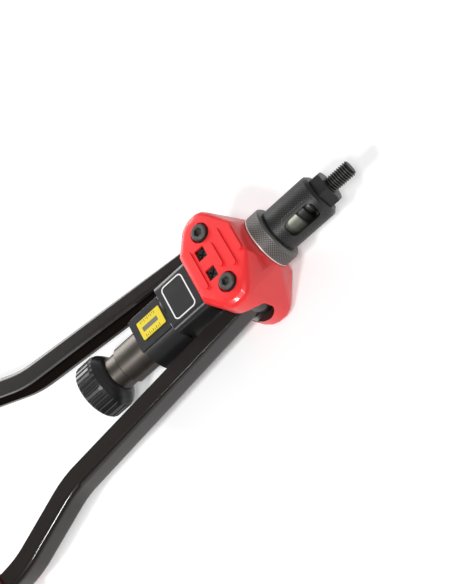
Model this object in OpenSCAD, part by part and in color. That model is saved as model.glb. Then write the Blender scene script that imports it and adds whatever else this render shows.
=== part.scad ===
// Two-handed lever tool for setting rivet nuts.
// +X runs along the tool axis towards the threaded mandrel, +Y to the left arm, +Z out of the bolted face.
// The origin is on the tool axis, in the plane of the anvil's front face. Millimetres.

/* [Nose] */
// Mandrel thread radius, an M10 thread
thread_r = 5; // [2:0.5:6]
// How far the mandrel stands out of the anvil at rest
thread_out = 15.3; // [8:0.1:24]
// Plain mandrel shank radius behind the thread
shank_r = 4.9; // [3:0.1:7]
// Anvil width across flats
anvil_af = 19; // [14:1:24]
// Anvil length in front of the nose housing
anvil_len = 6.9; // [5:0.1:12]
// Anvil front face radius inside its chamfer
anvil_face_r = 9.2; // [7:0.1:10]
// Depth of the chamfer at the anvil's corners
anvil_cone = 1.1; // [0.4:0.1:3]
// Turn of the anvil's hexagon about the tool axis
anvil_turn = 34; // [0:1:60]
// Nose housing radius
nose_r = 13.5; // [11:0.1:18]
// Nose housing length in front of the lock ring
nose_len = 33.3; // [24:0.1:45]
// Inner radius of the nose housing
nose_bore_r = 10; // [8:0.1:12]
// Length of the side window
window_len = 21; // [10:0.5:24]
// Width of the side window
window_w = 10.6; // [6:0.1:12]
// Corner radius of the side window
window_corner = 3.4; // [1:0.1:5]
// Turn of the side windows about the tool axis
window_turn = 51; // [0:1:90]
// Distance from the anvil face to the window's front end
window_front = 11.9; // [9.6:0.1:18]

/* [Lock ring] */
// Lock ring radius
ring_r = 17.35; // [15:0.05:22]
// Lock ring length
ring_len = 10.6; // [6:0.1:16]
// Lock ring edge chamfer
ring_cham = 1.1; // [0.3:0.1:2]
// Radius of the threaded stem that carries the ring and enters the head
stem_r = 11; // [9:0.1:12]

/* [Head] */
// Half thickness of the head
head_hz = 25.2; // [22:0.1:30]
// Height of the crease below the rounded shoulders
crease_z = 19.5; // [15:0.1:22]
// Half width of the head at the arms
head_hy = 33.6; // [28:0.1:40]
// Distance from the anvil face to the head's rear edge
head_rear = 93.1; // [86:0.1:103]
// Half width of the straight rear edge
rear_hy = 17; // [12:0.1:20]
// Distance from the anvil face to the arm pivots
pivot_x = 72.8; // [68:0.1:78]
// Half distance between the arm pivots
pivot_y = 18.7; // [17:0.1:22]
// Half height of the slot that the arms come out of
slot_hz = 11.5; // [10:0.1:12]
// Corner radius at the front of those slots
slot_corner = 8; // [3:0.1:9]
// Half height of the space for the cross plates
cavity_hz = 17; // [15:0.1:18]
// Thickness of the head's faces over the pockets of the plate screws
face_wall = 1.6; // [1:0.1:4]
// Length along the tool of a window over a plate screw
hatch_x = 6.4; // [4:0.1:8]
// Width across the tool of such a window
hatch_y = 7.4; // [4:0.1:9]
// Sideways place of the windows
hatch_mid = 7.4; // [6:0.1:9]
// Width of the raised bars on the faces
bar_w = 3; // [1:0.1:5]
// Height of the raised bars on the faces
bar_h = 1; // [0.2:0.1:1.4]
// Half length of the short bars
bar_short = 8.5; // [5:0.1:12]
// Half length of the long bars
bar_long = 13.6; // [8:0.1:16]
// Distance between neighbouring bars
bar_step = 7.25; // [5:0.05:9]

/* [Pivots] */
// Pivot bolt shank radius
bolt_r = 3; // [2.5:0.1:4]
// Pivot bolt head radius
bolt_head_r = 5.1; // [4:0.1:6.5]
// Pivot bolt head height
bolt_head_h = 6; // [4:0.1:8]
// Hexagon socket width across flats
bolt_key = 5; // [4:0.5:6]
// Counterbore radius around a bolt head
bore_r = 6.2; // [5.4:0.1:6.6]
// Counterbore depth
bore_d = 4.2; // [2:0.1:6]
// Pivot nut width across flats
nut_af = 10; // [8:0.5:13]
// Pivot nut height
nut_h = 5; // [4:0.1:6.5]
// Bush outer radius
bush_r = 5; // [4:0.1:6]

/* [Arms] */
// Arm hub radius
hub_r = 8.4; // [7.5:0.1:8.8]
// Half height of the channel-section arm
arm_hz = 8.6; // [7:0.1:9.4]
// Wall thickness of the arm channel
arm_wall = 2.5; // [1.5:0.1:3]
// Arm width behind the hub
arm_w0 = 9.5; // [8:0.1:12]
// Arm width at the bend and behind it
arm_w1 = 13; // [10:0.1:16]
// Sideways start of the arm's centre line
arm_y0 = 23.4; // [21:0.1:26]
// Splay of the straight part of the arm at rest
arm_a1 = 6.4; // [4:0.1:10]
// Splay of the arm behind the first bend
arm_a2 = 21.5; // [10:0.1:30]
// Splay of the grip
arm_a3 = 8; // [4:0.1:16]
// Length of the straight part in front of the bend
arm_l1 = 149; // [120:1:180]
// Length between the bends
arm_l2 = 38; // [10:1:60]
// Length behind the second bend
arm_l3 = 118; // [90:1:140]
// Bend radius on the centre line
arm_bend = 75; // [40:1:120]
// Grip length
grip_len = 108; // [80:1:120]
// Grip wall thickness over the arm
grip_wall = 4; // [2:0.1:6]

/* [Draw bar] */
// Swing of an arm from closed to open
swing = 50; // [30:1:52]
// Distance of a crank pin from its pivot
crank_r = 8; // [6:0.1:8.4]
// Crank pin radius
pin_r = 2; // [1.5:0.1:2.4]
// Thickness of a cross plate
plate_h = 7.2; // [5:0.1:7.4]
// Distance of the plate screws behind the pivots
clamp_back = 5.9; // [4:0.1:7]
// Sideways distance of a plate screw from the tool axis
clamp_y = 7; // [6.4:0.1:7.2]
// Plate screw shank radius
clamp_r = 1.6; // [1.2:0.1:1.8]
// Plate screw head radius
clamp_head_r = 3.8; // [3:0.1:4]
// Width of the cross recess in a plate screw
clamp_key = 1.1; // [0.6:0.1:1.6]
// Half width of the yoke between the hubs
yoke_hy = 9.4; // [8.8:0.1:9.5]
// Draw tube outer radius
tube_r = 12.65; // [11:0.05:14]
// Draw tube inner radius
tube_ri = 9.2; // [8:0.1:11]
// Distance from the anvil face to the tube's rear end
tube_end = 166; // [153:0.1:178]
// Radius of the end bush behind the tube
end_r = 11.3; // [10:0.1:12]
// Spindle radius
spindle_r = 5; // [4:0.1:6]

/* [Chuck] */
// Chuck body radius
chuck_r = 7.2; // [6:0.1:7.4]
// Chuck sleeve outer radius
sleeve_r = 9.2; // [8.2:0.1:9.5]
// Radius of the chuck's collar in front of the sleeve
jaw_r = 8.5; // [7.6:0.1:9]
// Distance from the anvil face to the sleeve's front edge
sleeve_front = 23.1; // [22:0.1:28]
// Chuck sleeve length
sleeve_len = 14; // [10:0.1:18]

/* [Rear housing] */
// Half width of the label section
label_hy = 17; // [15:0.1:18.5]
// Half height of the label section
label_hz = 19.3; // [17:0.1:21]
// Corner radius of the label section
label_corner = 4; // [2:0.1:6]
// Distance from the anvil face to the label section's rear end
label_rear = 118.2; // [110:0.1:126]
// Radius of the round section with the scale
round_r = 19.6; // [17:0.1:21]
// Distance from the anvil face to the round section's rear end
round_rear = 143.7; // [133:0.1:153]
// Height of the scale pad above the tool axis
pad_z = 17.3; // [15:0.1:18.5]
// Half width of the scale pad
pad_hy = 11.3; // [9:0.1:13]
// Scale slot length
scale_slot = 12; // [8:0.1:14]
// Half width of the scale slot
scale_slot_hy = 1.6; // [0.8:0.1:2]

/* [Knob] */
// Knob radius
knob_r = 18.9; // [16:0.1:22]
// Length of the end bush between the tube and the knob
end_len = 8.1; // [5:0.1:12]
// Length of the knob's domed front
dome_len = 7; // [5:0.1:9]
// Length of the knob's fluted rim
rim_len = 12.2; // [8:0.1:18]
// Number of grip flutes around the knob
knob_flutes = 30; // [12:1:40]

/* [Hidden] */
$fn = 64;
// Radial clearance of a turning or sliding fit
run = 0.06;
// Radial clearance of a pressed or screwed fit
seat = 0.02;
// End clearance between faces that move past each other
slip = 0.25;
// Overlap for cuts that pass through a face
eps = 0.5;
// Fine rounding for round pieces along the tool axis
fine = 96;
ring_front = anvil_len + nose_len;
ring_back = ring_front + ring_len;
neck_r = ring_r;
stem_rear = ring_back + 6.8;
front_wall = 4;
front_inner = anvil_len + front_wall;
stub_r = 7;
stem_bore_r = chuck_r + 0.4;
chuck_rear = ring_back + 2.8;
shank_front = 15.1;
shank_rear = 35.7;
cavity_front = stem_rear + 2;
crank_back = swing / 2;
stroke = 2 * crank_r * sin(crank_back);
chuck_front = front_inner + stroke + 0.4;
jaw_rear = sleeve_front - 0.7;
pin_x = pivot_x + crank_r * sin(crank_back);
pin_y = pivot_y + crank_r * cos(crank_back);
boss_r = pin_r + 1.4;
plate_z = arm_hz + 0.4;
plate_top = plate_z + plate_h;
bolt_gap = bolt_r + 0.4;
pin_gap = pin_r + 0.3;
wing_front = pivot_x - 0.6;
wing_rear = pivot_x + stroke + bolt_gap + 2.6;
wing_hy = pivot_y + crank_r - 0.1;
fan_r = crank_r + boss_r;
sweep_r = fan_r + 0.5;
clamp_x = pivot_x + clamp_back;
pocket_hz = head_hz - face_wall;
clamp_top = pocket_hz - 0.4;
clamp_end = plate_z - 3.6;
tube_front = head_rear + 1.6;
stem_len = 12;
collar_r = tube_ri - slip;
bearing_len = 2;
tongue_front = wing_rear + 0.8;
tongue_hy = 16.4;
end_rear = tube_end + end_len;
knob_front = end_rear + dome_len;
knob_rear = knob_front + rim_len;
pad_front = label_rear + 2;
plate_front = label_rear + 2.9;
plate_rear = label_rear + 21.1;
plate_hy = 6.2;
plate_t = 0.5;
slot_rear = label_rear + 18.7;
screw_r = 1.5;
screw_y = 14.6;
screw_x = head_rear - 3.7;
screw_head_r = 2.6;
grip_r = 6;
// Ribs around a grip: place of the first one, spacing, width and height
rib_first = 14;
rib_step = 12;
rib_w = 6;
rib_h = 0.8;
// Length and depth of the step at a grip's end
tip_len = 5;
tip_in = 1.4;
// How far the inside of an arm's channel reaches past its open side
open_past = 5;
// Shank radius of the knob's screw
cap_r = 2.5;

// A cylinder along the tool axis between two distances behind the anvil face
module along(front, rear, r, fn = fine) {
    translate([-rear, 0, 0])
        rotate([0, 90, 0])
            cylinder(h = rear - front, r = r, $fn = fn);
}

// A solid of revolution about the tool axis, points given as [radius, distance behind the anvil face]
module turned(points) {
    rotate([0, 90, 0])
        rotate_extrude($fn = fine)
            polygon([for (p = points) [p[0], -p[1]]]);
}

// A block given by its distances behind the anvil face and half sizes
module block(front, rear, hy, hz) {
    translate([-rear, -hy, -hz])
        cube([rear - front, 2 * hy, 2 * hz]);
}

// A straight slot with round ends, long along X, cut along Z
module slot_shape(len, w) {
    square([len - w, w], center = true);
    for (s = [-1, 1])
        translate([s * (len - w) / 2, 0])
            circle(d = w, $fn = 48);
}

// A rectangle with round corners
module round_rect(hx, hy, r) {
    square([2 * hx, 2 * (hy - r)], center = true);
    square([2 * (hx - r), 2 * hy], center = true);
    for (sx = [-1, 1], sy = [-1, 1])
        translate([sx * (hx - r), sy * (hy - r)])
            circle(r = r, $fn = 48);
}

// Points around a rectangle with round corners, where its sides have to stay flat pieces
function round_points(hx, hy, r, steps) = [for (q = [0:3], i = [0:steps])
    let (a = 90 * (q + i / steps), sx = (q == 0 || q == 3) ? 1 : -1, sy = q < 2 ? 1 : -1)
        [sx * (hx - r) + r * cos(a), sy * (hy - r) + r * sin(a)]];

// Half outline of the head at its crease, as shares of its length from the rear and of its half width
head_len = head_rear - ring_back;
crease_shares = [[0, rear_hy / head_hy], [0.22, 0.869], [0.307, 0.955], [0.411, 1], [0.539, 1],
                 [0.634, 0.946], [0.709, 0.839], [0.825, 0.61], [0.943, 0.357]];
// Half outline of the flat face inside the shoulders, point for point
flat_shares = [[0.109, 0.824 * rear_hy / head_hy], [0.281, 0.723], [0.34, 0.774], [0.411, 0.798],
               [0.53, 0.798], [0.589, 0.762], [0.671, 0.649], [0.79, 0.476], [0.91, 0.298]];
function head_outline(shares) = [for (q = shares) [head_rear - q[0] * head_len, q[1] * head_hy]];
crease = head_outline(crease_shares);
flat = head_outline(flat_shares);
shoulder_steps = 4;

// One thin level of the shoulder between the crease and the flat face
module shoulder(angle) {
    t = 1 - cos(angle);
    half = [for (i = [0:len(crease) - 1]) crease[i] + (flat[i] - crease[i]) * t];
    top = crease_z + (head_hz - crease_z) * sin(angle);
    last = len(half) - 1;
    linear_extrude(height = 2 * top, center = true)
        polygon(concat([for (q = half) [-q[0], q[1]]],
                       [for (i = [last:-1:0]) [-half[i][0], -half[i][1]]]));
}

// Outside of the head casting: shoulder levels drawn over by one hull with the neck
module head_shell() {
    hull() {
        for (i = [0:shoulder_steps])
            shoulder(90 * i / shoulder_steps);
        along(ring_back, ring_back + 0.8, neck_r, 32);
    }
}

// Raised bars on one face of the head, as [distance behind the anvil face, half length]
bars = [[ring_back + 5.4, bar_short], [ring_back + 5.4 + bar_step, bar_long],
        [ring_back + 5.4 + 2 * bar_step, bar_short], [head_rear - 8, bar_long]];
module head_bars() {
    for (b = bars)
        translate([-b[0], 0, head_hz - eps])
            linear_extrude(height = bar_h + eps)
                rotate(90)
                    slot_shape(2 * b[1], bar_w);
}

// Side opening along a fully opened arm, round at its front, drawn with the pivot at the origin
module side_opening() {
    out = arm_y0 - pivot_y + arm_w0 / 2 + 2.2;
    len = 34;
    translate([-len, 0, 0])
        rotate([90, 0, 90])
            linear_extrude(height = len - 2) {
                translate([-hub_r, -slot_hz])
                    square([hub_r + out - slot_corner, 2 * slot_hz]);
                translate([0, slot_corner - slot_hz])
                    square([out, 2 * (slot_hz - slot_corner)]);
                for (s = [-1, 1])
                    translate([out - slot_corner, s * (slot_hz - slot_corner)])
                        circle(r = slot_corner, $fn = fine);
            }
}

// Cast head: two faces on a round neck, open at the rear and the sides for the arms
module head() {
    color([0.85, 0.12, 0.12])
    difference() {
        union() {
            head_shell();
            head_bars();
            mirror([0, 0, 1])
                head_bars();
        }
        // Neck bore for the nose stem
        along(ring_back - eps, cavity_front + eps, stem_r + run);
        // Passage for the yoke, and space for the cross plates on their way forward
        block(cavity_front, head_rear + 5, yoke_hy + 1.2, cavity_hz);
        block(wing_front - stroke - 0.6, head_rear + 5, wing_hy + 0.5, cavity_hz);
        block(2 * pivot_x - pin_x - pin_gap - 0.3, head_rear + 5, pivot_y + crank_r + pin_gap + 0.2,
              cavity_hz);
        // Slots at the sides for the arms, and room for the hubs and their cranks
        block(pivot_x + 4, head_rear + 5, head_hy + 5, slot_hz);
        for (side = [0, 1])
            mirror([0, side, 0])
                translate([-pivot_x, pivot_y, 0]) {
                    rotate([0, 0, -swing - arm_a1])
                        side_opening();
                    cylinder(h = 2 * slot_hz, r = sweep_r, center = true, $fn = fine);
                }
        // Pockets over the plate screws
        block(clamp_x - stroke - clamp_head_r - 0.5, clamp_x + clamp_head_r + 0.5,
              clamp_y + clamp_head_r + 0.5, pocket_hz);
        // Windows in the faces over the plate screws
        for (s = [-1, 1])
            translate([-clamp_x - hatch_x / 2 + 0.3, s * hatch_mid - hatch_y / 2, -head_hz - 2])
                cube([hatch_x, hatch_y, 2 * head_hz + 4]);
        // Pivot bores, counterbores and nut pockets
        for (s = [-1, 1])
            translate([-pivot_x, s * pivot_y, 0]) {
                cylinder(h = 2 * head_hz + 4, r = bolt_r + run, center = true);
                translate([0, 0, head_hz - bore_d])
                    cylinder(h = bore_d + 2, r = bore_r);
                translate([0, 0, -head_hz - 2])
                    cylinder(h = bore_d + 2, r = nut_af / sqrt(3) + slip);
            }
        // Clearance holes of the housing screws
        for (s = [-1, 1])
            translate([-screw_x, s * screw_y, -head_hz - 2])
                cylinder(h = head_hz + 2 - cavity_hz + eps, r = screw_r + run);
        for (s = [-1, 1])
            translate([-screw_x, s * screw_y, -head_hz - 2])
                cylinder(h = 2 + 4.2, r = screw_head_r + 0.3);
    }
}

// Black housing behind the head: label section, round section and the pad for the scale
module rear_housing() {
    color([0.08, 0.08, 0.08])
    difference() {
        union() {
            block(tongue_front, head_rear + 1, tongue_hy, cavity_hz - 0.1);
            translate([-label_rear, 0, 0])
                rotate([90, 0, 90])
                    linear_extrude(height = label_rear - head_rear - 0.6)
                        round_rect(label_hy, label_hz, label_corner);
            difference() {
                along(label_rear - eps, round_rear, round_r);
                translate([-round_rear - eps, -round_r, pad_z])
                    cube([round_rear - label_rear, 2 * round_r, round_r]);
            }
            translate([-round_rear - 0.6, -pad_hy, 0])
                cube([round_rear - pad_front + 0.6, 2 * pad_hy, pad_z]);
        }
        along(tongue_front - eps, round_rear + 2, tube_r + run);
        for (s = [-1, 1])
            translate([-screw_x, s * screw_y, -cavity_hz - 1])
                cylinder(h = 1 + 9, r = screw_r + seat);
    }
}

// Thin yellow scale plate with a long window
module scale_plate() {
    color([0.92, 0.82, 0.1])
    difference() {
        translate([-(plate_front + plate_rear) / 2, 0, pad_z])
            linear_extrude(height = plate_t)
                round_rect((plate_rear - plate_front) / 2, plate_hy, 0.8);
        translate([-(slot_rear - scale_slot / 2), 0, pad_z - 1])
            linear_extrude(height = plate_t + 2)
                round_rect(scale_slot / 2, scale_slot_hy, 0.3);
    }
}

// Socket head bolts that carry the arms
module pivot_bolts() {
    head_z = head_hz - bore_d;
    color([0.3, 0.3, 0.29])
    for (s = [-1, 1])
        translate([-pivot_x, s * pivot_y, 0])
            difference() {
                union() {
                    translate([0, 0, -head_hz + bore_d - nut_h])
                        cylinder(h = head_z + head_hz - bore_d + nut_h + eps, r = bolt_r);
                    translate([0, 0, head_z])
                        rotate_extrude($fn = fine)
                            polygon([[0, 0], [bolt_head_r, 0], [bolt_head_r, bolt_head_h - 0.6],
                                     [bolt_head_r - 0.6, bolt_head_h], [0, bolt_head_h]]);
                }
                translate([0, 0, head_z + bolt_head_h - 3])
                    cylinder(h = 4, r = bolt_key / sqrt(3), $fn = 6);
            }
}

// Nuts of the pivot bolts, sunk in the rear face
module pivot_nuts() {
    color([0.35, 0.35, 0.34])
    for (s = [-1, 1])
        translate([-pivot_x, s * pivot_y, -head_hz + bore_d - nut_h])
            difference() {
                cylinder(h = nut_h, r = nut_af / sqrt(3), $fn = 6);
                translate([0, 0, -eps])
                    cylinder(h = nut_h + 2 * eps, r = bolt_r + seat);
            }
}

// Screws that hold the rear housing's tongue in the head
module housing_screws() {
    color([0.3, 0.3, 0.29])
    for (s = [-1, 1])
        translate([-screw_x, s * screw_y, -head_hz + 1.6])
            difference() {
                union() {
                    cylinder(h = 2.6, r = screw_head_r);
                    cylinder(h = head_hz - cavity_hz + 6, r = screw_r);
                }
                translate([0, 0, -eps])
                    cylinder(h = 1.4 + eps, r = 2.5 / sqrt(3), $fn = 6);
            }
}

// Knurled nose housing with two long windows and a stem for the lock ring and the head
module nose_housing() {
    win_mid = window_front + window_len / 2;
    color([0.12, 0.12, 0.12])
    difference() {
        turned([[stub_r + seat, anvil_len], [nose_r - 1.8, anvil_len], [nose_r, anvil_len + 1.8],
                [nose_r, ring_front - slip], [stem_r, ring_front - slip], [stem_r, stem_rear],
                [stem_bore_r, stem_rear], [stem_bore_r, ring_front + 4], [nose_bore_r, ring_front + 1],
                [nose_bore_r, front_inner], [stub_r + seat, front_inner]]);
        for (a = [0, 180])
            rotate([window_turn + a, 0, 0])
                translate([-win_mid, 0, 0])
                    linear_extrude(height = nose_r + 2)
                        polygon(round_points(window_len / 2, window_w / 2, window_corner, 6));
    }
}

// Hexagonal anvil screwed into the nose housing
module anvil() {
    corner_r = anvil_af / sqrt(3);
    cone_r = corner_r + 1;
    cone_x = anvil_cone * (cone_r - anvil_face_r) / (corner_r - anvil_face_r);
    color([0.1, 0.1, 0.1])
    difference() {
        union() {
            along(anvil_len - eps, front_inner, stub_r);
            intersection() {
                rotate([anvil_turn, 0, 0])
                    along(0, anvil_len, corner_r, 6);
                turned([[0, 0], [anvil_face_r, 0], [cone_r, cone_x], [cone_r, anvil_len + 2],
                        [0, anvil_len + 2]]);
            }
        }
        along(-eps, front_inner + eps, thread_r + 0.15);
        along(anvil_len - 3.4, front_inner + eps, shank_r + 0.3);
    }
}

// Knurled lock ring on the nose stem
module lock_ring() {
    color([0.42, 0.42, 0.41])
    turned([[stem_r + run, ring_front], [ring_r - ring_cham, ring_front], [ring_r, ring_front + ring_cham],
            [ring_r, ring_back - slip - 0.7], [ring_r - 0.7, ring_back - slip],
            [stem_r + run, ring_back - slip]]);
}

// Heading of an arm and the direction out to its outer side, for a splay angle
function heading(a) = [-cos(a), sin(a)];
function outward(a) = [sin(a), cos(a)];
arm_p0 = [-pivot_x - 4, arm_y0];
arm_p1 = arm_p0 + arm_l1 * heading(arm_a1);
bend_c1 = arm_p1 + arm_bend * outward(arm_a1);
arm_p2 = bend_c1 - arm_bend * outward(arm_a2);
arm_p3 = arm_p2 + arm_l2 * heading(arm_a2);
bend_c2 = arm_p3 - arm_bend * outward(arm_a2);
arm_p4 = bend_c2 + arm_bend * outward(arm_a3);
arm_p5 = arm_p4 + arm_l3 * heading(arm_a3);
bend_steps = 10;
// Centre line of the left arm as [point, splay, width]
arm_line = concat(
    [[arm_p0, arm_a1, arm_w0]],
    [for (i = [0:bend_steps]) let (a = arm_a1 + (arm_a2 - arm_a1) * i / bend_steps)
        [bend_c1 - arm_bend * outward(a), a, arm_w1]],
    [for (i = [0:bend_steps]) let (a = arm_a2 + (arm_a3 - arm_a2) * i / bend_steps)
        [bend_c2 + arm_bend * outward(a), a, arm_w1]],
    [[arm_p5, arm_a3, arm_w1]]);
// Outline between two offsets from the outer and inner edges
function arm_outline(from_outer, from_inner) = concat(
    [for (q = arm_line) q[0] + (q[2] / 2 - from_outer) * outward(q[1])],
    [for (i = [len(arm_line) - 1:-1:0]) let (q = arm_line[i])
        q[0] - (q[2] / 2 - from_inner) * outward(q[1])]);

// Outline of the hub with the fan that carries the crank pin, drawn with the pivot at the origin
module crank() {
    fan = [for (a = [10:38:200]) 2 * fan_r * [cos(a), sin(a)]];
    circle(r = hub_r, $fn = fine);
    intersection() {
        circle(r = fan_r, $fn = fine);
        polygon(concat([[0, 0]], fan));
    }
}

// Left arm: pressed channel with a hub and a crank that moves the cross plates
module arm_solid() {
    color([0.1, 0.1, 0.1])
    difference() {
        union() {
            translate([0, 0, -arm_hz])
                linear_extrude(height = 2 * arm_hz)
                    polygon(arm_outline(0, 0));
            translate([-pivot_x, pivot_y, -arm_hz])
                linear_extrude(height = 2 * arm_hz)
                    crank();
        }
        // Inside of the channel, open towards the tool axis
        difference() {
            translate([0, 0, -arm_hz + arm_wall])
                linear_extrude(height = 2 * (arm_hz - arm_wall))
                    polygon(arm_outline(arm_wall, -open_past));
            translate([-pivot_x, pivot_y, 0])
                cylinder(h = 4 * arm_hz, r = fan_r, center = true, $fn = fine);
        }
        translate([-pivot_x, pivot_y, 0])
            cylinder(h = 4 * arm_hz, r = bush_r + seat, center = true);
        translate([-pin_x, pin_y, 0])
            cylinder(h = 4 * arm_hz, r = pin_r + seat, center = true);
    }
}
module arm_left() {
    arm_solid();
}
module arm_right() {
    mirror([0, 1, 0])
        arm_solid();
}

// Plain bush in the hub, turning on the pivot bolt
module bush_solid() {
    color([0.7, 0.55, 0.25])
    translate([-pivot_x, pivot_y, 0])
        difference() {
            cylinder(h = 2 * arm_hz + 0.4, r = bush_r, center = true);
            cylinder(h = 3 * arm_hz, r = bolt_r + run, center = true);
        }
}
module bush_left() {
    bush_solid();
}
module bush_right() {
    mirror([0, 1, 0])
        bush_solid();
}

// Crank pin through an arm, its ends in the notches of the cross plates
module pin_solid() {
    half = plate_top - 0.6;
    color([0.3, 0.3, 0.29])
    translate([-pin_x, pin_y, 0])
        rotate_extrude()
            polygon([[0, -half], [pin_r - 0.4, -half], [pin_r, 0.4 - half], [pin_r, half - 0.4],
                     [pin_r - 0.4, half], [0, half]]);
}
module pin_left() {
    pin_solid();
}
module pin_right() {
    mirror([0, 1, 0])
        pin_solid();
}

// Moulded grip over the end of an arm
module grip_solid() {
    hy = arm_w1 / 2 + grip_wall;
    hz = arm_hz + grip_wall;
    color([0.75, 0.1, 0.1])
    translate([arm_p5[0], arm_p5[1], 0])
        rotate([0, 0, -arm_a3])
            difference() {
                translate([-grip_wall, 0, 0])
                    rotate([90, 0, 90]) {
                        linear_extrude(height = grip_len + grip_wall - tip_len)
                            round_rect(hy, hz, grip_r);
                        linear_extrude(height = grip_len + grip_wall)
                            round_rect(hy - tip_in, hz - tip_in, grip_r - 1);
                        for (i = [0:5])
                            translate([0, 0, rib_first + rib_step * i])
                                linear_extrude(height = rib_w)
                                    round_rect(hy + rib_h, hz + rib_h, grip_r + rib_h);
                    }
                translate([0, -arm_w1 / 2 - seat, -arm_hz - seat])
                    cube([grip_len + grip_wall + 1, arm_w1 + 2 * seat, 2 * (arm_hz + seat)]);
            }
}
module grip_left() {
    grip_solid();
}
module grip_right() {
    mirror([0, 1, 0])
        grip_solid();
}

// Yoke between the hubs, with a stem in the draw tube
module draw_yoke() {
    color([0.4, 0.4, 0.38])
    difference() {
        union() {
            block(wing_front, wing_rear, yoke_hy, plate_z);
            along(wing_rear - eps, tube_front, tube_ri - 0.4);
            along(tube_front - eps, tube_front + stem_len, tube_ri - seat);
        }
        along(wing_front - eps, tube_front + stem_len + eps, spindle_r + run);
        for (sy = [-1, 1], sz = [0, 1])
            mirror([0, 0, sz])
                translate([-clamp_x, sy * clamp_y, clamp_end - 0.4])
                    cylinder(h = plate_z, r = clamp_r + seat);
    }
}

// Outline of a cross plate: open slots for the pivot bolts, forked ends for the crank pins
module plate_outline() {
    difference() {
        translate([-wing_rear, -wing_hy])
            square([wing_rear - wing_front, 2 * wing_hy]);
        for (side = [0, 1])
            mirror([0, side]) {
                translate([-pivot_x - stroke, pivot_y])
                    circle(r = bolt_gap);
                translate([-pivot_x - stroke, pivot_y - bolt_gap])
                    square([stroke + pivot_x - wing_front + eps, 2 * bolt_gap]);
                translate([-pin_x - pin_gap, pin_y - pin_gap])
                    square([2 * pin_gap, crank_r]);
                translate([-clamp_x, clamp_y])
                    circle(r = clamp_r + 0.1);
            }
    }
}

// Cross plates screwed on the yoke, above and below the arms
module cross_plates() {
    color([0.35, 0.35, 0.34])
    for (sz = [0, 1])
        mirror([0, 0, sz])
            translate([0, 0, plate_z])
                linear_extrude(height = plate_h)
                    plate_outline();
}

// Cap screws of the cross plates, their heads under the windows
module plate_screws() {
    color([0.3, 0.3, 0.29])
    for (sy = [-1, 1], sz = [0, 1])
        mirror([0, 0, sz])
            translate([-clamp_x, sy * clamp_y, 0])
                difference() {
                    union() {
                        translate([0, 0, clamp_end])
                            cylinder(h = clamp_top - clamp_end, r = clamp_r);
                        translate([0, 0, plate_top])
                            cylinder(h = clamp_top - plate_top, r = clamp_head_r);
                    }
                    for (a = [45, 135])
                        rotate(a)
                            translate([-clamp_head_r * 0.65, -clamp_key / 2, clamp_top - 1.8])
                                cube([clamp_head_r * 1.3, clamp_key, 2.8]);
                }
}

// Satin draw tube that slides in the rear housing
module draw_tube() {
    color([0.5, 0.47, 0.44])
    turned([[tube_ri, tube_front], [tube_r - 0.6, tube_front], [tube_r, tube_front + 0.6],
            [tube_r, tube_end - 0.8], [tube_r - 0.8, tube_end], [tube_ri, tube_end]]);
}

// Thrust bearing ring between the yoke's stem and the spindle's collar
module thrust_bearing() {
    front = tube_front + stem_len;
    color([0.75, 0.75, 0.75])
    turned([[spindle_r + run, front], [tube_ri - seat, front], [tube_ri - seat, front + bearing_len],
            [spindle_r + run, front + bearing_len]]);
}

// Bush that closes the tube and carries the spindle's rear end
module end_bush() {
    color([0.45, 0.42, 0.4])
    turned([[spindle_r + run, tube_end - 8], [tube_ri - seat, tube_end - 8], [tube_ri - seat, tube_end],
            [end_r, tube_end], [end_r, end_rear], [spindle_r + run, end_rear]]);
}

// Spindle from the knob to the chuck, with the collar that takes the pull
module spindle() {
    front = tube_front + stem_len + bearing_len + 0.02;
    color([0.5, 0.5, 0.5])
    difference() {
        turned([[0, ring_front + 3], [spindle_r, ring_front + 3], [spindle_r, front], [collar_r, front],
                [collar_r, front + 4], [spindle_r, front + 4], [spindle_r, knob_rear - 2.5],
                [0, knob_rear - 2.5]]);
        along(knob_rear - 16, knob_rear, cap_r + seat);
    }
}

// Chuck body that holds the mandrel's shank
module chuck() {
    color([0.1, 0.1, 0.1])
    turned([[shank_r + seat, chuck_front], [jaw_r - 0.6, chuck_front], [jaw_r, chuck_front + 0.6],
            [jaw_r, jaw_rear], [chuck_r, jaw_rear], [chuck_r, chuck_rear], [spindle_r + seat, chuck_rear],
            [spindle_r + seat, ring_front + 3], [0, ring_front + 3], [0, shank_rear + 0.1],
            [shank_r + seat, shank_rear + 0.1]]);
}

// Threaded mandrel with a relief neck inside the anvil, its thread cut to shape in the rendering
module mandrel() {
    neck = thread_r - 0.7;
    color([0.12, 0.12, 0.12])
    turned([[0, -thread_out], [thread_r - 0.6, -thread_out], [thread_r, 0.6 - thread_out], [thread_r, -0.4],
            [neck, 0.3], [neck, shank_front], [shank_r, shank_front + 0.6],
            [shank_r, shank_rear], [0, shank_rear]]);
}

// Fluted hand knob that turns the mandrel
module knob() {
    flute_r = 1.1;
    color([0.06, 0.06, 0.06])
    difference() {
        turned([[spindle_r + seat, end_rear + slip], [end_r + 0.6, end_rear + slip],
                [end_r + 2.3, end_rear + 1.1], [knob_r - 2.9, knob_front - 3.8],
                [knob_r - 0.8, knob_front - 1.3], [knob_r, knob_front + 0.8],
                [knob_r, knob_rear - 1], [knob_r - 1, knob_rear], [9, knob_rear], [8, knob_rear - 1.5],
                [cap_r + seat, knob_rear - 1.5], [cap_r + seat, knob_rear - 2.5],
                [spindle_r + seat, knob_rear - 2.5]]);
        for (i = [0:knob_flutes - 1])
            rotate([i * 360 / knob_flutes, 0, 0])
                translate([-knob_rear - 1, 0, knob_r + 0.3])
                    rotate([0, 90, 0])
                        cylinder(h = knob_rear - knob_front + 3, r = flute_r, $fn = 24);
    }
}

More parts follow.
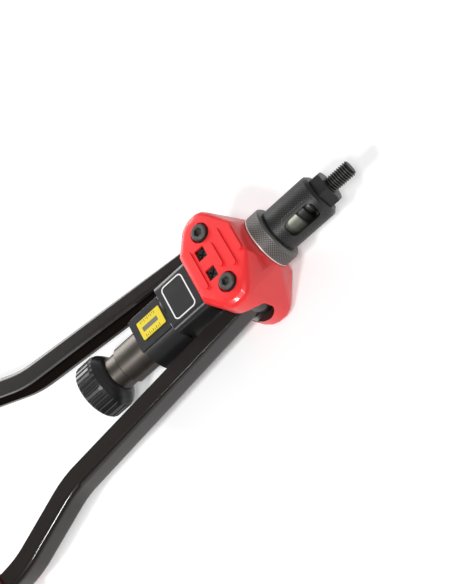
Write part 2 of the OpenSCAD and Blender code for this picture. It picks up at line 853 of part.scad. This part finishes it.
// Screw that holds the knob on the spindle
module knob_screw() {
    color([0.35, 0.35, 0.34])
    difference() {
        union() {
            along(knob_rear - 15, knob_rear - 1.5, cap_r);
            along(knob_rear - 1.5, knob_rear + 1, 4.6);
        }
        along(knob_rear - 1, knob_rear + 2, 3 / sqrt(3), 6);
    }
}

// Sleeve on the chuck, drawn back through the window to free the mandrel
module chuck_sleeve() {
    rear = sleeve_front + sleeve_len;
    color([0.48, 0.5, 0.46])
    turned([[chuck_r + run, sleeve_front], [sleeve_r - 0.7, sleeve_front], [sleeve_r, sleeve_front + 0.7],
            [sleeve_r, rear - 0.7], [sleeve_r - 0.7, rear], [chuck_r + run, rear]]);
}

head();
rear_housing();
scale_plate();
pivot_bolts();
pivot_nuts();
housing_screws();
nose_housing();
anvil();
lock_ring();
arm_left();
bush_left();
pin_left();
grip_left();
arm_right();
bush_right();
pin_right();
grip_right();
draw_yoke();
cross_plates();
plate_screws();
draw_tube();
thrust_bearing();
end_bush();
spindle();
chuck();
mandrel();
knob();
knob_screw();
chuck_sleeve();
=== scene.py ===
"""Looks of the two-handed rivet nut tool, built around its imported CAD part. Metres, tool axis along +X."""
import math

import bmesh
import bpy
from mathutils import Matrix, Vector
from mathutils.bvhtree import BVHTree


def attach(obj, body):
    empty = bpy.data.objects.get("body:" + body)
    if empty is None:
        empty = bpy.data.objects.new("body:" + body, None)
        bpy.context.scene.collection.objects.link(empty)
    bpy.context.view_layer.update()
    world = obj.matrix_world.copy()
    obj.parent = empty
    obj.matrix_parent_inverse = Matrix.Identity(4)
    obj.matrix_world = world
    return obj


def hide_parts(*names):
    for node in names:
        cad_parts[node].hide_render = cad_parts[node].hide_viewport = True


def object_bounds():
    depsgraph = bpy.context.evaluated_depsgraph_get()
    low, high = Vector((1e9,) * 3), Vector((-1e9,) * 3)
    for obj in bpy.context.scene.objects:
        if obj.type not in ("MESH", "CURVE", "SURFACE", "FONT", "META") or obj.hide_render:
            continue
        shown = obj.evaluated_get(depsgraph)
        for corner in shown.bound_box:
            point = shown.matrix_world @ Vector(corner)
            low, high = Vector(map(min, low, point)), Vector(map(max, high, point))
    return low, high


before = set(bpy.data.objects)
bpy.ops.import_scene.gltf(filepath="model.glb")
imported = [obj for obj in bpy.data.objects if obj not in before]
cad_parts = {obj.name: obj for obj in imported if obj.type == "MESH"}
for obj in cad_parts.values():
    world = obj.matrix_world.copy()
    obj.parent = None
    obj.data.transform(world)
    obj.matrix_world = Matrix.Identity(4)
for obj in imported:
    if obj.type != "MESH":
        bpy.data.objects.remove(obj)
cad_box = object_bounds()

MM = 0.001
TURN = 2 * math.pi
X_AXIS = Vector((1, 0, 0))
ORIGIN = Vector((0, 0, 0))

# Sizes shared with the part's source, in millimetres
NOSE_R = 13.5
NOSE_FRONT = -8.9
NOSE_REAR = -39.9
RING_R = 17.35
RING_FRONT = -41.4
RING_REAR = -49.6
WINDOW_MID = -22.4
WINDOW_LEN = 21.0
WINDOW_W = 10.6
WINDOW_CORNER = 3.4
WINDOW_TURN = math.radians(51)
THREAD_R = 5.0
THREAD_PITCH = 1.5
THREAD_TIP = 15.3
SHANK_R = 4.9
SHANK_FRONT = -15.1
SHANK_REAR = -35.7
LABEL_Z = 19.3
PLATE_Z = 17.8
PAD_Z = 17.3
ARM_Z = 8.6

# Bounds between edges that are eased in different ways, in millimetres
ARM_HUB_X = -78.0
POCKET_Z = 20.9
NECK_X = -52.5

# Widths of the eased edges, in millimetres
ARM_EASING = 3.6
ARM_EDGE_EASING = 0.9
CREASE_EASING = 1.8
OPENING_EASING = 0.8
FACE_EASING = 0.3
HOUSING_EASING = 0.6
NOSE_EASING = 0.3
SMALL_EASING = 0.25

# Eased edges from this width on, in millimetres, get the greater number of segments
BROAD_EASING = 1.5
FINE_SEGMENTS = 3
BROAD_SEGMENTS = 6

# Edges below this angle are shaded smooth, and edges above the other belong to an opening, in degrees
SOFT_DEG = 46
OPENING_DEG = 62

# Faces of a CAD copy that differ by less than this angle, in degrees, become one
FLAT_DEG = 0.8

# Vertices closer than this are one, in metres
SAME_POINT = 0.000004
SAME_TURNED_POINT = 0.000002

# Knurl: height of its points and valleys over the turned surface, depth of its sunk rim, depth from which its
# faces are hidden, and smooth margin at a window, in millimetres
KNURL_RISE = 0.2
KNURL_VALLEY = 0.015
KNURL_SUNK = 0.12
KNURL_HIDDEN = 0.06
KNURL_MARGIN = 1.9
NOSE_COLUMNS = 112
RING_COLUMNS = 144

# Thread: depth as a share of the pitch, room under the crest radius, and chamfer at the tip
THREAD_DEPTH = 0.62
CREST_ROOM = 0.03
TIP_CHAMFER = 0.9
THREAD_STEPS = 40
SHANK_STEPS = 64
RING_STEPS = 96

# Print on the label section and the scale plate, in millimetres
LABEL_X = -106.1
LABEL_HALF_X = 8.3
LABEL_HALF_Y = 12.1
LABEL_CORNER = 3.0
LABEL_LINE = 0.85
STRIP_X = -130.9
STRIP_HALF_X = 5.95
STRIP_HALF_Y = 1.55
STRIP_CORNER = 0.28
STRIP_THICK = 0.44
TICKS = 9
TICK_X = -136.3
TICK_STEP = 1.36
TICK_OUT = 5.6
LONG_TICK = 1.9
SHORT_TICK = 1.1
TICK_HALF = 0.16
TICK_CORNER = 0.05

# Room between the object and the floor, in metres, so that no two faces lie in one plane
FLOOR_GAP = 0.0002
FLOOR_HALF = 6.0
FLOOR_TONE = 0.93
FLOOR_GLOW = 0.22
SKY = 0.26


class Socket:
    """One output of a material's nodes. Sums on it add Math nodes."""

    def __init__(self, finish, out):
        self.finish = finish
        self.out = out

    def _math(self, operation, *values):
        return self.finish.node("ShaderNodeMath", {"operation": operation}, dict(enumerate(values)))

    def __add__(self, other):
        return self._math("ADD", self, other)

    __radd__ = __add__

    def __sub__(self, other):
        return self._math("SUBTRACT", self, other)

    def __rsub__(self, other):
        return self._math("SUBTRACT", other, self)

    def __mul__(self, other):
        return self._math("MULTIPLY", self, other)

    __rmul__ = __mul__

    def clamped(self):
        return self.finish.node("ShaderNodeClamp", {}, {0: self})


class Finish:
    """A procedural material and the one method that adds nodes to it."""

    def __init__(self, name):
        self.material = bpy.data.materials.new(name)
        self.material.use_nodes = True
        self.nodes = self.material.node_tree.nodes
        self.links = self.material.node_tree.links
        self.shader = self.nodes["Principled BSDF"]

    def node(self, kind, settings, values, output=0):
        made = self.nodes.new(kind)
        for key, value in settings.items():
            setattr(made, key, value)
        self.fill(made, values)
        return Socket(self, made.outputs[output])

    def fill(self, made, values):
        for key, value in values.items():
            if isinstance(value, Socket):
                self.links.new(value.out, made.inputs[key])
            else:
                made.inputs[key].default_value = value

    def place(self):
        return self.node("ShaderNodeTexCoord", {}, {}, "Object")

    def noise(self, scale, detail=3.0, rough=0.55, vector=None):
        return self.node("ShaderNodeTexNoise", {}, {
            "Vector": vector or self.place(), "Scale": scale, "Detail": detail, "Roughness": rough})

    def stretched(self, scale):
        return self.node("ShaderNodeMapping", {}, {"Vector": self.place(), "Scale": scale})

    def blend(self, factor, first, second):
        return self.node("ShaderNodeMix", {"data_type": "RGBA"}, {0: factor, 6: first, 7: second}, 2)

    def bump(self, height, strength, distance):
        return self.node("ShaderNodeBump", {}, {"Height": height, "Strength": strength, "Distance": distance})

    def set(self, **values):
        self.fill(self.shader, {key.replace("_", " "): value for key, value in values.items()})
        return self.material


def rgba(red, green, blue):
    return (red, green, blue, 1)


def red_paint():
    """Sprayed enamel on a casting: slight orange peel and faint clouding."""
    f = Finish("red_paint")
    cloud = f.noise(60, 3)
    colour = f.blend(cloud, rgba(0.88, 0.015, 0.018), rgba(0.96, 0.024, 0.027))
    peel = f.noise(900, 2) + 0.5 * f.noise(300, 2)
    return f.set(Base_Color=colour, Roughness=0.38 + 0.10 * f.noise(140, 3),
                 Coat_Weight=0.3, Coat_Roughness=0.06, Normal=f.bump(peel, 0.03, 0.00010))


def black_paint(name, tone, rough, grain, coat=0.0, gloss=0.5):
    """Black coating with a fine grain and a little warmth."""
    f = Finish(name)
    cloud = f.noise(35, 4)
    colour = f.blend(cloud, rgba(*tone), rgba(*(1.6 * c for c in tone)))
    return f.set(Base_Color=colour, Roughness=rough + 0.12 * f.noise(220, 3) - 0.05, Coat_Weight=coat,
                 Coat_Roughness=0.06, Specular_IOR_Level=gloss,
                 Normal=f.bump(f.noise(1400, 3), grain, 0.00010))


def knurled_steel(name, valley, point, rough, metallic):
    """Knurled steel, dark in the valleys and rubbed bright on the points."""
    f = Finish(name)
    peak = f.node("ShaderNodeAttribute", {"attribute_name": "peak"}, {}, "Fac")
    worn = peak * peak * (0.7 + 0.6 * f.noise(160, 3))
    return f.set(Base_Color=f.blend(worn.clamped(), rgba(*valley), rgba(*point)), Metallic=metallic,
                 Roughness=rough - 0.12 * peak + 0.08 * f.noise(300, 3))


def cut_thread(name, root, crest):
    """Black oxide on a cut thread, dark in the roots and rubbed on the crests."""
    f = Finish(name)
    across = f.node("ShaderNodeVectorMath", {"operation": "MULTIPLY"}, {0: f.place(), 1: (0.0, 1.0, 1.0)})
    radius = f.node("ShaderNodeVectorMath", {"operation": "LENGTH"}, {0: across}, "Value")
    worn = ((radius * (1 / MM) - (THREAD_R - 0.7)) * 1.5).clamped()
    worn = worn * (0.6 + 0.6 * f.noise(400, 3))
    return f.set(Base_Color=f.blend(worn.clamped(), rgba(*root), rgba(*crest)), Metallic=0.7,
                 Roughness=0.42 + 0.12 * f.noise(500, 3))


def turned_steel(name, tone, rough, metallic):
    """Lathe-turned steel: rings around the tool axis, with dull patches."""
    f = Finish(name)
    rings = f.noise(900, 2, 0.6, f.stretched((1.0, 0.01, 0.01)))
    patch = f.noise(90, 3)
    colour = f.blend(patch, rgba(*(0.8 * c for c in tone)), rgba(*(1.2 * c for c in tone)))
    return f.set(Base_Color=colour, Metallic=metallic, Roughness=rough + 0.14 * patch - 0.06,
                 Normal=f.bump(rings, 0.10, 0.00008))


def brushed_steel(name, tone, rough, metallic):
    """Drawn or machined steel with fine isotropic scratches."""
    f = Finish(name)
    patch = f.noise(250, 4)
    colour = f.blend(patch, rgba(*(0.75 * c for c in tone)), rgba(*(1.25 * c for c in tone)))
    return f.set(Base_Color=colour, Metallic=metallic, Roughness=rough + 0.16 * patch - 0.06,
                 Normal=f.bump(f.noise(1600, 3), 0.10, 0.00006))


def moulded_plastic(name, tone, rough):
    """Glossy moulded plastic with a faint flow pattern."""
    f = Finish(name)
    cloud = f.noise(50, 3)
    colour = f.blend(cloud, rgba(*tone), rgba(*(1.6 * c for c in tone)))
    return f.set(Base_Color=colour, Roughness=rough + 0.10 * f.noise(300, 3),
                 Normal=f.bump(f.noise(800, 2), 0.06, 0.00008))


def grip_rubber():
    """Matte dipped rubber with a pebbled skin."""
    f = Finish("grip_rubber")
    pebble = f.node("ShaderNodeTexVoronoi", {}, {"Vector": f.place(), "Scale": 900.0})
    colour = f.blend(f.noise(80, 3), rgba(0.45, 0.02, 0.02), rgba(0.60, 0.035, 0.03))
    return f.set(Base_Color=colour, Roughness=0.62 + 0.12 * f.noise(200, 3),
                 Normal=f.bump(pebble, 0.25, 0.0002))


def printed(name, tone, rough):
    """Screen-printed ink with a slightly uneven film."""
    f = Finish(name)
    colour = f.blend(f.noise(400, 3), rgba(*(0.92 * c for c in tone)), rgba(*tone))
    return f.set(Base_Color=colour, Roughness=rough + 0.1 * f.noise(600, 2),
                 Normal=f.bump(f.noise(1500, 2), 0.05, 0.00005))


RED = red_paint()
# Painted shade: a dark red-black for the head's inner walls, where the casting's own red lies in shade
HEAD_PAINTED_SHADE = black_paint("head_painted_shade", (0.035, 0.006, 0.006), 0.5, 0.15)
ARM_BLACK = black_paint("arm_black", (0.0095, 0.0068, 0.0058), 0.30, 0.04, 0.55, 0.14)
HOUSING_BLACK = black_paint("housing_black", (0.010, 0.010, 0.010), 0.34, 0.10)
NOSE_BLACK = turned_steel("nose_black", (0.030, 0.030, 0.030), 0.40, 0.5)
NOSE_KNURL = knurled_steel("nose_knurl", (0.012, 0.012, 0.012), (0.13, 0.13, 0.125), 0.46, 0.5)
RING_GREY = turned_steel("ring_grey", (0.14, 0.137, 0.131), 0.46, 0.7)
RING_KNURL = knurled_steel("ring_knurl", (0.064, 0.062, 0.059), (0.43, 0.415, 0.395), 0.6, 0.5)
# Painted highlight: a nearly white steel finish for the band on the ring's rear chamfer
RING_PAINTED_HIGHLIGHT = turned_steel("ring_painted_highlight", (0.80, 0.78, 0.74), 0.34, 0.3)
THREAD_BLACK = cut_thread("thread_black", (0.012, 0.012, 0.011), (0.17, 0.168, 0.16))
TUBE_SATIN = turned_steel("tube_satin", (0.098, 0.087, 0.077), 0.42, 0.85)
SLEEVE_GREY = turned_steel("sleeve_grey", (0.25, 0.26, 0.215), 0.42, 0.7)
BRIGHT_STEEL = turned_steel("bright_steel", (0.55, 0.55, 0.54), 0.28, 1.0)
BOLT_STEEL = brushed_steel("bolt_steel", (0.105, 0.103, 0.096), 0.40, 0.6)
SCREW_BLACK = brushed_steel("screw_black", (0.040, 0.040, 0.040), 0.42, 0.5)
YOKE_STEEL = brushed_steel("yoke_steel", (0.30, 0.30, 0.29), 0.42, 0.9)
BRONZE = brushed_steel("bush_bronze", (0.55, 0.38, 0.16), 0.36, 1.0)
KNOB_BLACK = moulded_plastic("knob_black", (0.014, 0.014, 0.014), 0.26)
GRIP = grip_rubber()
YELLOW = printed("scale_yellow", (0.84, 0.66, 0.012), 0.42)
WHITE_INK = printed("white_ink", (0.86, 0.87, 0.86), 0.45)
BLACK_INK = printed("black_ink", (0.02, 0.02, 0.02), 0.5)
GREY_INK = printed("grey_ink", (0.16, 0.155, 0.14), 0.5)


def smooth_faces(bm, sharp_deg):
    """Smooth shading, with a crease wherever two faces meet at more than the given angle."""
    limit = math.radians(sharp_deg)
    for face in bm.faces:
        face.smooth = True
    for edge in bm.edges:
        edge.smooth = len(edge.link_faces) == 2 and edge.calc_face_angle(0) < limit


def finished(bm, name, material, body, replaced=(), sharp_deg=38):
    """Turns a bmesh into a piece that rides on a body."""
    smooth_faces(bm, sharp_deg)
    mesh = bpy.data.meshes.new(name)
    bm.to_mesh(mesh)
    bm.free()
    mesh.materials.append(material)
    piece = bpy.data.objects.new(name, mesh)
    bpy.context.collection.objects.link(piece)
    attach(piece, body)
    if replaced:
        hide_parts(*replaced)
    return piece


def eased_copy(node, name, material, body, easing, sharp_deg=38, inside=None):
    """A copy of a CAD node with its sharp outer edges eased, which stands for the node. Easing gives an edge's
    width, and inside is a darker finish for the faces that look at another wall: painted shade where walls shut
    out the light."""
    bm = bmesh.new()
    bm.from_mesh(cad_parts[node].data)
    bmesh.ops.remove_doubles(bm, verts=bm.verts, dist=SAME_POINT)
    bmesh.ops.dissolve_limit(bm, angle_limit=math.radians(FLAT_DEG), verts=bm.verts, edges=bm.edges)
    limit = math.radians(sharp_deg)
    widths = {}
    for edge in bm.edges:
        if edge.is_convex and edge.calc_face_angle(0) > limit:
            widths.setdefault(easing(edge), []).append(edge)
    widths.pop(0, None)
    for width in sorted(widths, reverse=True):
        bmesh.ops.bevel(bm, geom=[e for e in widths[width] if e.is_valid], offset=width * MM,
                        offset_type="OFFSET", segments=FINE_SEGMENTS if width < BROAD_EASING else BROAD_SEGMENTS,
                        profile=0.5, affect="EDGES", clamp_overlap=width < ARM_EASING, material=-1)
    # Painted shade: faces that look at another wall, below the pocket height, take the darker inside finish
    if inside:
        bm.normal_update()
        walls = BVHTree.FromBMesh(bm)
        for face in bm.faces:
            middle = face.calc_center_median()
            hit = walls.ray_cast(middle + face.normal * 0.02 * MM, face.normal)[0]
            face.material_index = 1 if hit and abs(middle.z) < POCKET_Z * MM else 0
    piece = finished(bm, name, material, body, [node], max(sharp_deg, SOFT_DEG))
    if inside:
        piece.data.materials.append(inside)
    evened = piece.modifiers.new("even_shading", "WEIGHTED_NORMAL")
    evened.keep_sharp = True
    return piece


def same_easing(width):
    """The same easing for every edge."""
    return lambda edge: width


def head_easing(edge):
    """Slight on the bars, windows and bolt recesses, broad along the crease, in between at the openings. The
    steep edges between the casting's sides and those that run to its neck get none, because their shading is
    smooth."""
    heights = [v.co.z / MM for v in edge.verts]
    if min(abs(z) for z in heights) > POCKET_Z:
        return FACE_EASING
    if edge.calc_face_angle(0) > math.radians(OPENING_DEG):
        return OPENING_EASING
    steep = abs(heights[0] - heights[1]) * MM > 0.4 * edge.calc_length()
    to_neck = max(v.co.x for v in edge.verts) > NECK_X * MM
    smooth = edge.calc_face_angle(0) < math.radians(SOFT_DEG)
    return 0 if (steep or to_neck) and smooth else CREASE_EASING


def arm_easing(edge):
    """Broad along the outer side of an arm behind its hub, less elsewhere."""
    side = 1 if edge.verts[0].co.y > 0 else -1
    outer = (all(abs(v.co.z) > (ARM_Z - 0.1) * MM and v.co.x < ARM_HUB_X * MM for v in edge.verts)
             and any(f.normal.y * side > 0.5 for f in edge.link_faces))
    return ARM_EASING if outer else ARM_EDGE_EASING


def polyline(bm, points):
    """A chain of vertices and edges through the given points, in millimetres."""
    verts = [bm.verts.new(Vector(p) * MM) for p in points]
    edges = [bm.edges.new(pair) for pair in zip(verts, verts[1:])]
    return verts + edges


def turned(bm, profile, steps):
    """Spins a profile of (x, radius) points a full turn about the tool axis."""
    chain = polyline(bm, [(x, 0, r) for x, r in profile])
    bmesh.ops.spin(bm, geom=chain, cent=ORIGIN, axis=X_AXIS, angle=TURN, steps=steps, use_merge=True,
                   use_duplicate=False)
    bmesh.ops.remove_doubles(bm, verts=bm.verts, dist=SAME_TURNED_POINT)
    bmesh.ops.recalc_face_normals(bm, faces=bm.faces)


def around(vertex):
    """Angle of a vertex about the tool axis, and its place along the axis in millimetres."""
    return math.atan2(vertex.co.z, vertex.co.y), vertex.co.x / MM


def set_radius(vertex, radius):
    """Moves a vertex straight out from the tool axis to the given radius in millimetres."""
    angle, along = around(vertex)
    vertex.co = Vector((along, radius * math.cos(angle), radius * math.sin(angle))) * MM


def window_gap(angle, along):
    """Distance in millimetres of a point on the nose from the edge of the nearer window, negative inside."""
    best = 1e9
    for turn in (0, math.pi):
        middle = math.pi / 2 + WINDOW_TURN + turn
        off = (angle - middle + math.pi) % TURN - math.pi
        side = NOSE_R * math.sin(off) if abs(off) < math.pi / 2 else NOSE_R
        reach = abs(along - WINDOW_MID) - (WINDOW_LEN / 2 - WINDOW_CORNER)
        across = abs(side) - (WINDOW_W / 2 - WINDOW_CORNER)
        gap = math.hypot(max(reach, 0), max(across, 0)) + min(max(reach, across), 0)
        best = min(best, gap - WINDOW_CORNER)
    return best


def knurl(name, front, rear, radius, columns, material, body, smooth_near=None):
    """A skin of small diamond points over a turned surface, sunk into it at the ends and near a window."""
    rows = max(2, round((front - rear) / (TURN * radius / columns)))
    bm = bmesh.new()
    peak = bm.verts.layers.float.new("peak")
    step = (front - rear) / rows
    turned(bm, [(rear + step * i, radius) for i in range(rows + 1)], columns)
    for vertex in bm.verts:
        angle, along = around(vertex)
        column = round((angle % TURN) / (TURN / columns))
        row = round((along - rear) / step)
        if row in (0, rows) or (smooth_near and smooth_near(angle, along) < KNURL_MARGIN):
            set_radius(vertex, radius - KNURL_SUNK)
        elif (row + column) % 2:
            set_radius(vertex, radius + KNURL_RISE)
            vertex[peak] = 1.0
        else:
            set_radius(vertex, radius + KNURL_VALLEY)
    hidden = [f for f in bm.faces if all(v.co.yz.length < (radius - KNURL_HIDDEN) * MM for v in f.verts)]
    bmesh.ops.delete(bm, geom=hidden, context="FACES")
    for face in list(bm.faces):
        low = [v for v in face.verts if v[peak] < 0.5]
        if len(face.verts) != 4 or len(low) != 2:
            continue
        if not any(e.other_vert(low[0]) == low[1] for e in low[0].link_edges):
            bmesh.utils.face_split(face, low[0], low[1])
    return finished(bm, name, material, body, sharp_deg=12)


def mandrel():
    """Mandrel with a true helical thread, a chamfered tip and a plain shank."""
    flat = THREAD_PITCH / 9
    low = THREAD_R - THREAD_DEPTH * THREAD_PITCH
    start = SHANK_FRONT - 1.0
    turns = int((THREAD_TIP - start) / THREAD_PITCH) + 2
    bm = bmesh.new()
    crest = THREAD_R - CREST_ROOM
    tooth = [(start, low), (start + flat * 2, low), (start + THREAD_PITCH / 2, crest),
             (start + THREAD_PITCH / 2 + flat, crest), (start + THREAD_PITCH, low)]
    chain = polyline(bm, [(x, 0, r) for x, r in tooth])
    bmesh.ops.spin(bm, geom=chain, cent=ORIGIN, axis=X_AXIS, dvec=X_AXIS * THREAD_PITCH * MM / THREAD_STEPS,
                   angle=TURN * turns, steps=THREAD_STEPS * turns, use_merge=False, use_duplicate=False)
    bmesh.ops.remove_doubles(bm, verts=bm.verts, dist=SAME_POINT)
    for end, inner in ((THREAD_TIP, False), (SHANK_FRONT, True)):
        geom = bm.verts[:] + bm.edges[:] + bm.faces[:]
        bmesh.ops.bisect_plane(bm, geom=geom, plane_co=X_AXIS * end * MM, plane_no=X_AXIS,
                               clear_outer=not inner, clear_inner=inner)
    for vertex in bm.verts:
        along = vertex.co.x / MM
        room = THREAD_R - max(0, along - (THREAD_TIP - TIP_CHAMFER))
        if vertex.co.yz.length / MM > room:
            set_radius(vertex, room)
    rim = [e for e in bm.edges if e.is_boundary and all(v.co.x / MM > THREAD_TIP - 0.01 for v in e.verts)]
    bmesh.ops.edgeloop_fill(bm, edges=rim)
    bmesh.ops.recalc_face_normals(bm, faces=bm.faces)
    shank = bmesh.new()
    turned(shank, [(SHANK_FRONT + 0.4, low), (SHANK_FRONT, SHANK_R - 0.5), (SHANK_FRONT - 0.5, SHANK_R),
                   (SHANK_REAR + 0.4, SHANK_R), (SHANK_REAR, SHANK_R - 0.4), (SHANK_REAR, 0)], SHANK_STEPS)
    spare = bpy.data.meshes.new("mandrel_shank")
    shank.to_mesh(spare)
    shank.free()
    bm.from_mesh(spare)
    bpy.data.meshes.remove(spare)
    return finished(bm, "mandrel_thread", THREAD_BLACK, "spin", ["mandrel"], 30)


def plate_loop(half_x, half_y, corner, points=6):
    """Corner-rounded rectangle as points around the middle, in millimetres."""
    loop = []
    for quarter in range(4):
        angle = math.pi / 2 * quarter
        cx = (half_x - corner) * (1 if quarter in (0, 3) else -1)
        cy = (half_y - corner) * (1 if quarter in (0, 1) else -1)
        for i in range(points + 1):
            a = angle + math.pi / 2 * i / points
            loop.append((cx + corner * math.cos(a), cy + corner * math.sin(a)))
    return loop


def raise_faces(bm, faces, thick):
    """Draws the given flat faces up into a plate, in millimetres."""
    up = bmesh.ops.extrude_face_region(bm, geom=faces)
    verts = [v for v in up["geom"] if isinstance(v, bmesh.types.BMVert)]
    bmesh.ops.translate(bm, verts=verts, vec=(0, 0, thick * MM))


def ink_plate(bm, loop, middle, height, thick):
    """A thin flat plate from a loop of points."""
    verts = [bm.verts.new(Vector((middle[0] + x, middle[1] + y, height)) * MM) for x, y in loop]
    raise_faces(bm, [bm.faces.new(verts)], thick)


def label_frame():
    """White rounded frame printed on the label section, its inside left bare."""
    bm = bmesh.new()
    rim = []
    for inset in (0, LABEL_LINE):
        loop = plate_loop(LABEL_HALF_X - inset, LABEL_HALF_Y - inset, LABEL_CORNER - inset)
        verts = [bm.verts.new(Vector((x + LABEL_X, y, LABEL_Z + 0.02)) * MM) for x, y in loop]
        rim += [bm.edges.new((a, b)) for a, b in zip(verts, verts[1:] + verts[:1])]
    bmesh.ops.bridge_loops(bm, edges=rim)
    raise_faces(bm, bm.faces[:], 0.04)
    bmesh.ops.recalc_face_normals(bm, faces=bm.faces)
    return finished(bm, "label_frame", WHITE_INK, "frame")


def scale_marks():
    """Tick marks on both sides of the scale's window."""
    bm = bmesh.new()
    for side in (-1, 1):
        for i in range(TICKS):
            length = LONG_TICK if i % 2 == 0 else SHORT_TICK
            middle = (TICK_X + i * TICK_STEP, side * (TICK_OUT - length / 2))
            ink_plate(bm, plate_loop(TICK_HALF, length / 2, TICK_CORNER, 2), middle, PLATE_Z + 0.01, 0.03)
    bmesh.ops.recalc_face_normals(bm, faces=bm.faces)
    return finished(bm, "scale_marks", BLACK_INK, "frame")


def scale_strip():
    """Grey strip in the scale's window."""
    bm = bmesh.new()
    ink_plate(bm, plate_loop(STRIP_HALF_X, STRIP_HALF_Y, STRIP_CORNER), (STRIP_X, 0), PAD_Z, STRIP_THICK)
    bmesh.ops.recalc_face_normals(bm, faces=bm.faces)
    return finished(bm, "scale_strip", GREY_INK, "frame")


def ring_painted_highlight():
    """Painted highlight: a nearly white band on the ring's rear chamfer, where the edge catches the light."""
    bm = bmesh.new()
    turned(bm, [(RING_REAR + 0.05, RING_R + 0.02), (RING_REAR - 0.3, RING_R + 0.05),
                (RING_REAR - 0.62, RING_R - 0.31), (RING_REAR - 0.9, RING_R - 0.6)], RING_STEPS)
    return finished(bm, "ring_painted_highlight", RING_PAINTED_HIGHLIGHT, "lock")


# Finishes of the CAD nodes, also of those that another piece stands for
FINISHES = {
    "scale_plate": YELLOW, "pivot_bolts": BOLT_STEEL, "pivot_nuts": BOLT_STEEL, "housing_screws": BOLT_STEEL,
    "bush_left": BRONZE, "bush_right": BRONZE, "pin_left": BOLT_STEEL, "pin_right": BOLT_STEEL,
    "cross_plates": YOKE_STEEL, "plate_screws": SCREW_BLACK, "draw_yoke": YOKE_STEEL, "draw_tube": TUBE_SATIN,
    "thrust_bearing": BRIGHT_STEEL, "end_bush": TUBE_SATIN, "spindle": BRIGHT_STEEL, "chuck": NOSE_BLACK,
    "knob_screw": BOLT_STEEL, "chuck_sleeve": SLEEVE_GREY, "knob": KNOB_BLACK, "lock_ring": RING_GREY,
    "nose_housing": NOSE_BLACK, "anvil": NOSE_BLACK, "head": RED, "rear_housing": HOUSING_BLACK,
    "arm_left": ARM_BLACK, "arm_right": ARM_BLACK, "grip_left": GRIP, "grip_right": GRIP, "mandrel": NOSE_BLACK}
for node, material in FINISHES.items():
    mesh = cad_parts[node].data
    mesh.materials.clear()
    mesh.materials.append(material)

# The head's inner walls take painted shade
eased_copy("head", "head_casting", RED, "frame", head_easing, 20, HEAD_PAINTED_SHADE)
eased_copy("arm_left", "arm_left_channel", ARM_BLACK, "arm_l", arm_easing, 30)
eased_copy("arm_right", "arm_right_channel", ARM_BLACK, "arm_r", arm_easing, 30)
eased_copy("rear_housing", "rear_housing_body", HOUSING_BLACK, "frame",
           same_easing(HOUSING_EASING), 30)
eased_copy("anvil", "anvil_hex", NOSE_BLACK, "nose", same_easing(SMALL_EASING), 20)
eased_copy("nose_housing", "nose_housing_body", NOSE_BLACK, "nose",
           same_easing(NOSE_EASING), 30)
eased_copy("pivot_bolts", "pivot_bolt_heads", BOLT_STEEL, "frame",
           same_easing(SMALL_EASING), 30)
mandrel()
knurl("nose_knurl", NOSE_FRONT, NOSE_REAR, NOSE_R, NOSE_COLUMNS, NOSE_KNURL, "nose", window_gap)
knurl("ring_knurl", RING_FRONT, RING_REAR, RING_R, RING_COLUMNS, RING_KNURL, "lock")
# Painted highlight along the ring's rear edge
ring_painted_highlight()
label_frame()
scale_strip()
scale_marks()


def studio():
    """White floor that keeps a soft shadow, even sky light and three soft boxes."""
    bm = bmesh.new()
    bmesh.ops.create_grid(bm, x_segments=1, y_segments=1, size=FLOOR_HALF)
    bmesh.ops.translate(bm, verts=bm.verts, vec=(-0.1, 0, cad_box[0][2] - FLOOR_GAP))
    mesh = bpy.data.meshes.new("floor")
    bm.to_mesh(mesh)
    bm.free()
    floor = bpy.data.objects.new("floor", mesh)
    bpy.context.collection.objects.link(floor)
    f = Finish("floor_white")
    path = (f.node("ShaderNodeLightPath", {}, {}, "Is Camera Ray")
            + f.node("ShaderNodeLightPath", {}, {}, "Is Glossy Ray"))
    glow = f.blend(path.clamped(), rgba(0, 0, 0), rgba(FLOOR_GLOW, FLOOR_GLOW, FLOOR_GLOW))
    mesh.materials.append(f.set(Base_Color=rgba(FLOOR_TONE, FLOOR_TONE, FLOOR_TONE), Roughness=0.9,
                                Specular_IOR_Level=0.0, Emission_Color=glow, Emission_Strength=1.0))
    world = bpy.data.worlds.new("studio")
    bpy.context.scene.world = world
    world.use_nodes = True
    background = world.node_tree.nodes["Background"]
    background.inputs["Color"].default_value = rgba(1, 1, 1)
    background.inputs["Strength"].default_value = SKY
    for name, place, aim, size, power in (
            ("front_box", (0.15, -0.55, 1.0), (-0.1, 0, 0), 0.22, 4.2),
            ("side_box", (-0.45, -0.55, 1.0), (-0.15, 0, 0), 0.16, 5.8),
            ("rear_box", (-0.65, 0.85, 0.3), (-0.1, 0, 0), 0.68, 10.5)):
        lamp = bpy.data.lights.new(name, "AREA")
        lamp.size = size
        lamp.energy = power
        box = bpy.data.objects.new(name, lamp)
        box.location = place
        box.rotation_euler = (Vector(aim) - Vector(place)).to_track_quat("-Z", "Y").to_euler()
        bpy.context.collection.objects.link(box)


def photo_camera():
    """Camera at the photograph's viewing angle, rolled as it was held."""
    place = Vector((0.13721, -0.36341, 0.55175))
    aim = Vector((-0.08684, -0.00705, 0.0))
    roll = math.radians(-68.112)
    ahead = (aim - place).normalized()
    level = ahead.cross(Vector((0, 0, 1))).normalized()
    above = level.cross(ahead)
    right = level * math.cos(roll) + above * math.sin(roll)
    up = right.cross(ahead)
    camera = bpy.data.objects.new("camera", bpy.data.cameras.new("camera"))
    camera.matrix_world = Matrix.Translation(place) @ Matrix((right, up, -ahead)).transposed().to_4x4()
    camera.data.sensor_fit = "HORIZONTAL"
    camera.data.sensor_width = 36.0
    camera.data.lens = 95.347
    camera.data.clip_start = 0.01
    bpy.context.collection.objects.link(camera)
    bpy.context.scene.camera = camera


studio()
photo_camera()
bpy.context.scene.view_settings.view_transform = "Standard"
